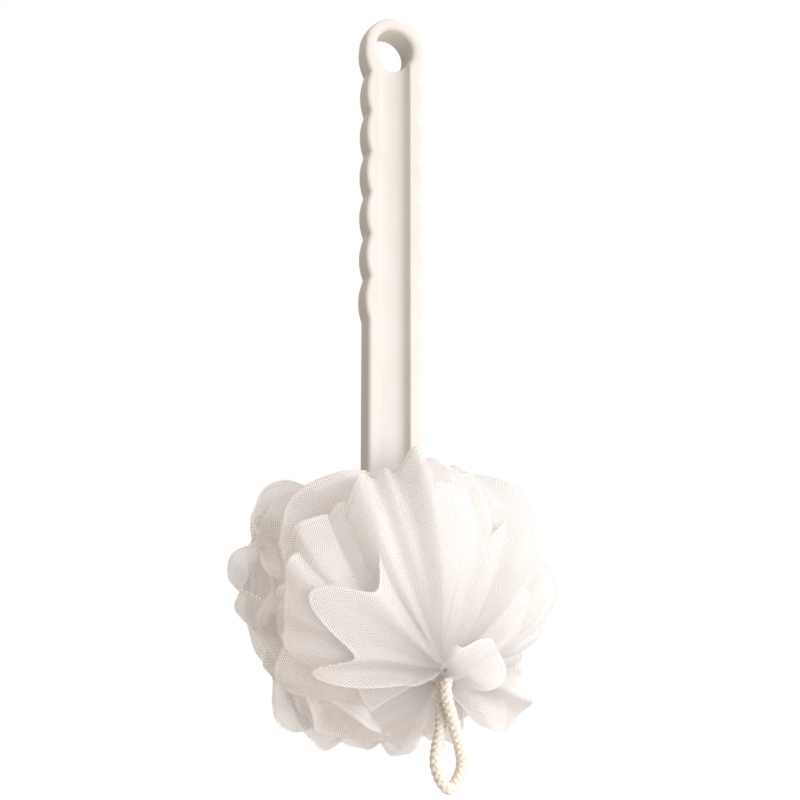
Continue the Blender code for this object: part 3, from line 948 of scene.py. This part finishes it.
def finish_handle():
    """The moulded handle, with its facets rounded off."""
    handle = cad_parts["handle"]
    skin = handle.modifiers.new("skin", "REMESH")
    skin.mode = "VOXEL"
    skin.voxel_size = 0.6 * MM
    skin.use_smooth_shade = True
    soften = handle.modifiers.new("soften", "SMOOTH")
    soften.factor = 0.5
    soften.iterations = 4
    paint(handle, plastic_material())


# ---------------------------------------------------------------- studio


def build_camera():
    data = bpy.data.cameras.new("view")
    camera = bpy.data.objects.new("view", data)
    SCENE.collection.objects.link(camera)
    level = math.cos(VIEW_ELEVATION)
    back = Vector((
        math.sin(VIEW_AZIMUTH) * level,
        -math.cos(VIEW_AZIMUTH) * level,
        math.sin(VIEW_ELEVATION),
    ))
    camera.location = VIEW_TARGET + back * VIEW_DISTANCE
    camera.rotation_mode = "QUATERNION"
    camera.rotation_quaternion = back.to_track_quat("Z", "Y")
    data.lens = VIEW_LENS
    SCENE.camera = camera


def build_world():
    """Surroundings warm and dim on the left and bright on the right, but plain white to the camera."""
    nodes = Nodes(bpy.data.worlds.new("studio"), "Background", "World Output")
    x, _, _ = nodes.split(nodes.add("TexCoord").outputs["Generated"])
    right = nodes.ramp(x, low=-0.8, high=0.6, start=0.0, end=1.0, ease="LINEAR")
    nodes.shade({"Color": nodes.blend(right, (0.26, 0.195, 0.14, 1), (0.90, 0.85, 0.80, 1))})
    white = nodes.add("Background")
    nodes.feed(white.inputs["Color"], WHITE)
    seen = nodes.add("LightPath").outputs["Is Camera Ray"]
    nodes.surface(nodes.mix_shaders(seen, nodes.shader.outputs[0], white.outputs[0]))
    SCENE.world = nodes.owner


def area_light(name, place, power, colour):
    data = bpy.data.lights.new(name, "AREA")
    data.size = LAMP_SIZE
    data.energy = power
    data.color = colour
    light = bpy.data.objects.new(name, data)
    light.location = place
    light.rotation_mode = "QUATERNION"
    light.rotation_quaternion = (Vector(place) - LAMP_TARGET).to_track_quat("Z", "Y")
    SCENE.collection.objects.link(light)


def build_lights():
    """The key light is in front, and two weaker lights stand high on the left and on the right."""
    area_light("key", (0.25, -1.03, -0.36), 9.8, (0.985, 0.98, 0.995))
    area_light("left", (-0.62, -0.30, 0.90), 5.4, (1.0, 0.98, 0.97))
    area_light("top", (0.80, -0.45, 0.45), 4.2, (1.0, 0.98, 0.97))


def follow_light():
    """Plain colours, and enough bounces for light to pass through many layers of net."""
    SCENE.view_settings.view_transform = "Standard"
    SCENE.cycles.transparent_max_bounces = 32
    SCENE.cycles.max_bounces = 20
    SCENE.cycles.diffuse_bounces = 16


def build_floor():
    """A pale floor well below the scrubber, plain white to the camera so that no horizon shows."""
    bpy.ops.mesh.primitive_plane_add(size=FLOOR_SIZE, location=(0, 0, FLOOR_HEIGHT))
    floor = bpy.context.object
    floor.name = "floor"
    nodes = material_nodes("floor")
    nodes.shade({"Base Color": (0.8, 0.76, 0.72, 1)})
    glow = nodes.add("Emission")
    nodes.feed(glow.inputs["Color"], WHITE)
    seen = nodes.add("LightPath").outputs["Is Camera Ray"]
    nodes.surface(nodes.mix_shaders(seen, nodes.shader.outputs[0], glow.outputs[0]))
    floor.data.materials.append(nodes.owner)


build_netting()
build_rope()
finish_handle()
paint(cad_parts["binding_cord"], nylon_material())
build_camera()
build_world()
build_lights()
follow_light()
build_floor()
